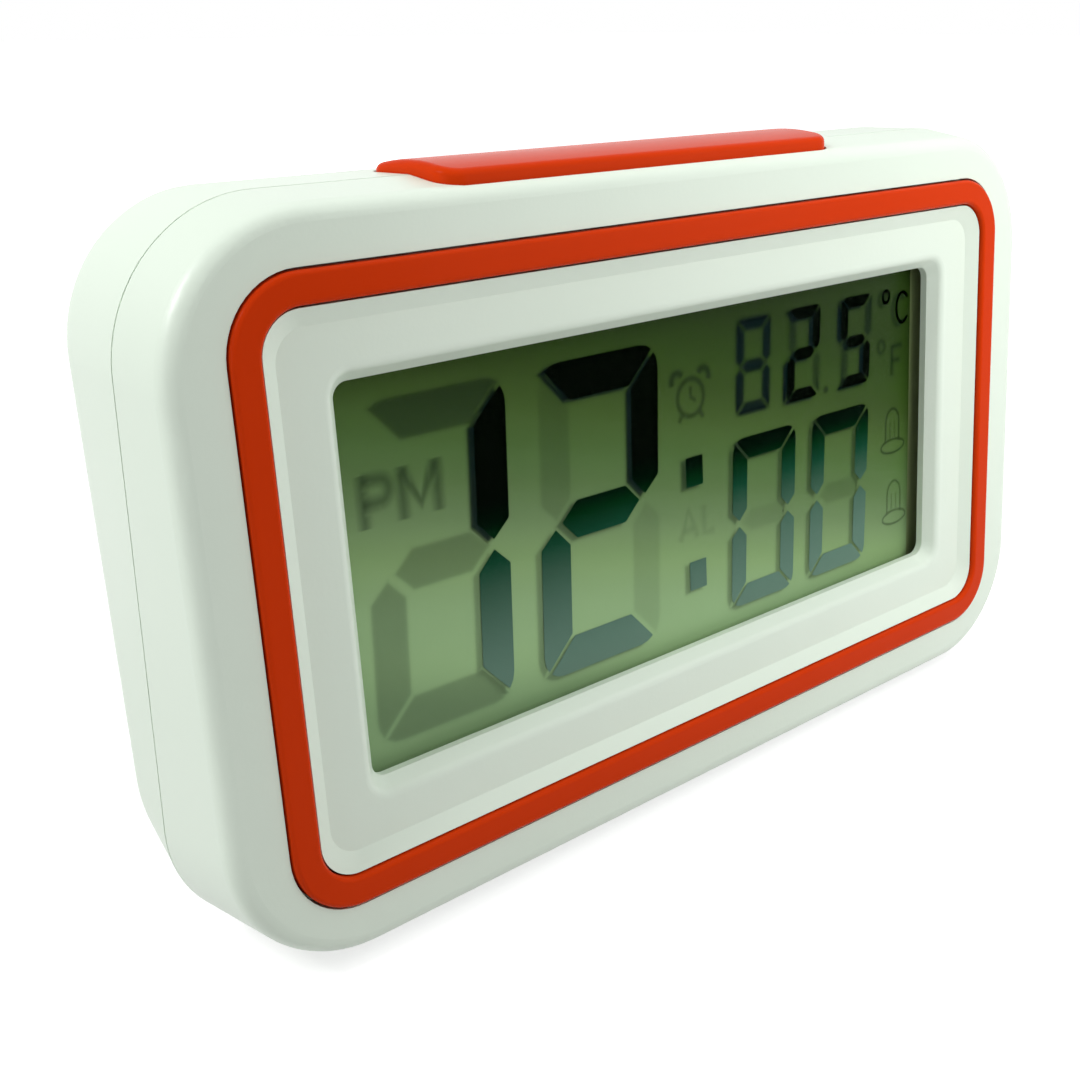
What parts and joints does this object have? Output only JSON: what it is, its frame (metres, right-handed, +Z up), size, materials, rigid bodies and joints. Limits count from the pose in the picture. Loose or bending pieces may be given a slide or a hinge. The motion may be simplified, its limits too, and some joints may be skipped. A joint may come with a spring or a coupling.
{
  "type": "talking clock",
  "caption": "Battery talking clock in a leaning white case: recessed display in a trim ring, talk bar on top, and setting buttons, alarm slide, speaker and battery door behind.",
  "frame": {"origin": "middle of the box around the whole clock, on the plane that it stands on", "axes": "+Z up, the display faces -Y and leans back by 5 degrees, +X to the viewer's right"},
  "size_m": [0.13, 0.0414, 0.0755],
  "materials": {
    "case_white": "satin white",
    "trim_orange": "gloss orange",
    "button_grey": "fine satin",
    "clear_window": "polished clear",
    "display_glass": "olive display",
    "foil": "satin foil",
    "holder_plastic": "moulded",
    "contact_rubber": "soft",
    "board_green": "lacquered board",
    "screw_steel": "zinc plated",
    "contact_nickel": "nickel plated",
    "resin_black": "cured resin",
    "can_metal": "bright",
    "switch_black": "moulded",
    "plunger_plastic": "moulded",
    "cell_jacket": "printed jacket",
    "speaker_steel": "pressed steel",
    "magnet_ferrite": "sintered",
    "cone_paper": "pressed paper",
    "ribbon_grey": "flat cable",
    "wire_red": "insulated wire"
  },
  "bodies": {
    "case": {"front_case": "case_white", "rear_cover": "case_white", "display_bezel": "case_white", "trim_ring": "trim_orange", "display_lens": "clear_window", "lcd_panel": "display_glass", "lcd_reflector": "foil", "lcd_holder": "holder_plastic", "zebra_strip": "contact_rubber", "main_board": "board_green", "button_board": "board_green", "case_screws": "screw_steel", "board_screws": "screw_steel", "button_board_screws": "screw_steel", "contact_positive": "contact_nickel", "contact_negative": "contact_nickel", "contact_bridge": "contact_nickel", "controller_blobs": "resin_black", "temperature_sensor": "resin_black", "crystal": "can_metal", "capacitors": "can_metal", "talk_switch": "switch_black", "setting_switches": "switch_black", "alarm_switch_body": "switch_black", "cell_low": "cell_jacket", "cell_high": "cell_jacket", "speaker_frame": "speaker_steel", "speaker_magnet": "magnet_ferrite", "speaker_cone": "cone_paper", "ribbon_cable": "ribbon_grey", "speaker_wires": "wire_red", "battery_wires": "wire_red"},
    "talk_bar": {"talk_bar": "trim_orange", "talk_plunger": "plunger_plastic"},
    "set_button": {"set_button": "button_grey", "set_plunger": "plunger_plastic"},
    "hour_button": {"hour_button": "button_grey", "hour_plunger": "plunger_plastic"},
    "minute_button": {"minute_button": "button_grey", "minute_plunger": "plunger_plastic"},
    "mode_button": {"mode_button": "button_grey", "mode_plunger": "plunger_plastic"},
    "alarm_knob": {"alarm_knob": "button_grey"},
    "battery_door": {"battery_door": "case_white"}
  },
  "joints": [
    {"name": "talk_bar_press", "type": "slide", "parent": "case", "child": "talk_bar", "axis": [0, -0.0872, -0.9962], "range_m": [0, 0.001], "stiffness_N_per_m": 800, "springref_m": -0.0005},
    {"name": "set_button_press", "type": "slide", "parent": "case", "child": "set_button", "axis": [0, -1, 0], "range_m": [0, 0.0008], "stiffness_N_per_m": 800, "springref_m": -0.0004},
    {"name": "hour_button_press", "type": "slide", "parent": "case", "child": "hour_button", "axis": [0, -1, 0], "range_m": [0, 0.0008], "stiffness_N_per_m": 800, "springref_m": -0.0004},
    {"name": "minute_button_press", "type": "slide", "parent": "case", "child": "minute_button", "axis": [0, -1, 0], "range_m": [0, 0.0008], "stiffness_N_per_m": 800, "springref_m": -0.0004},
    {"name": "mode_button_press", "type": "slide", "parent": "case", "child": "mode_button", "axis": [0, -1, 0], "range_m": [0, 0.0008], "stiffness_N_per_m": 800, "springref_m": -0.0004},
    {"name": "alarm_knob_slide", "type": "slide", "parent": "case", "child": "alarm_knob", "axis": [1, 0, 0], "range_m": [0, 0.003]},
    {"name": "battery_door_tilt", "type": "hinge", "parent": "case", "child": "battery_door", "pos_m": [-0.013, 0.0193, 0.0044], "axis": [-1, 0, 0], "range_deg": [0, 40]}
  ]
}
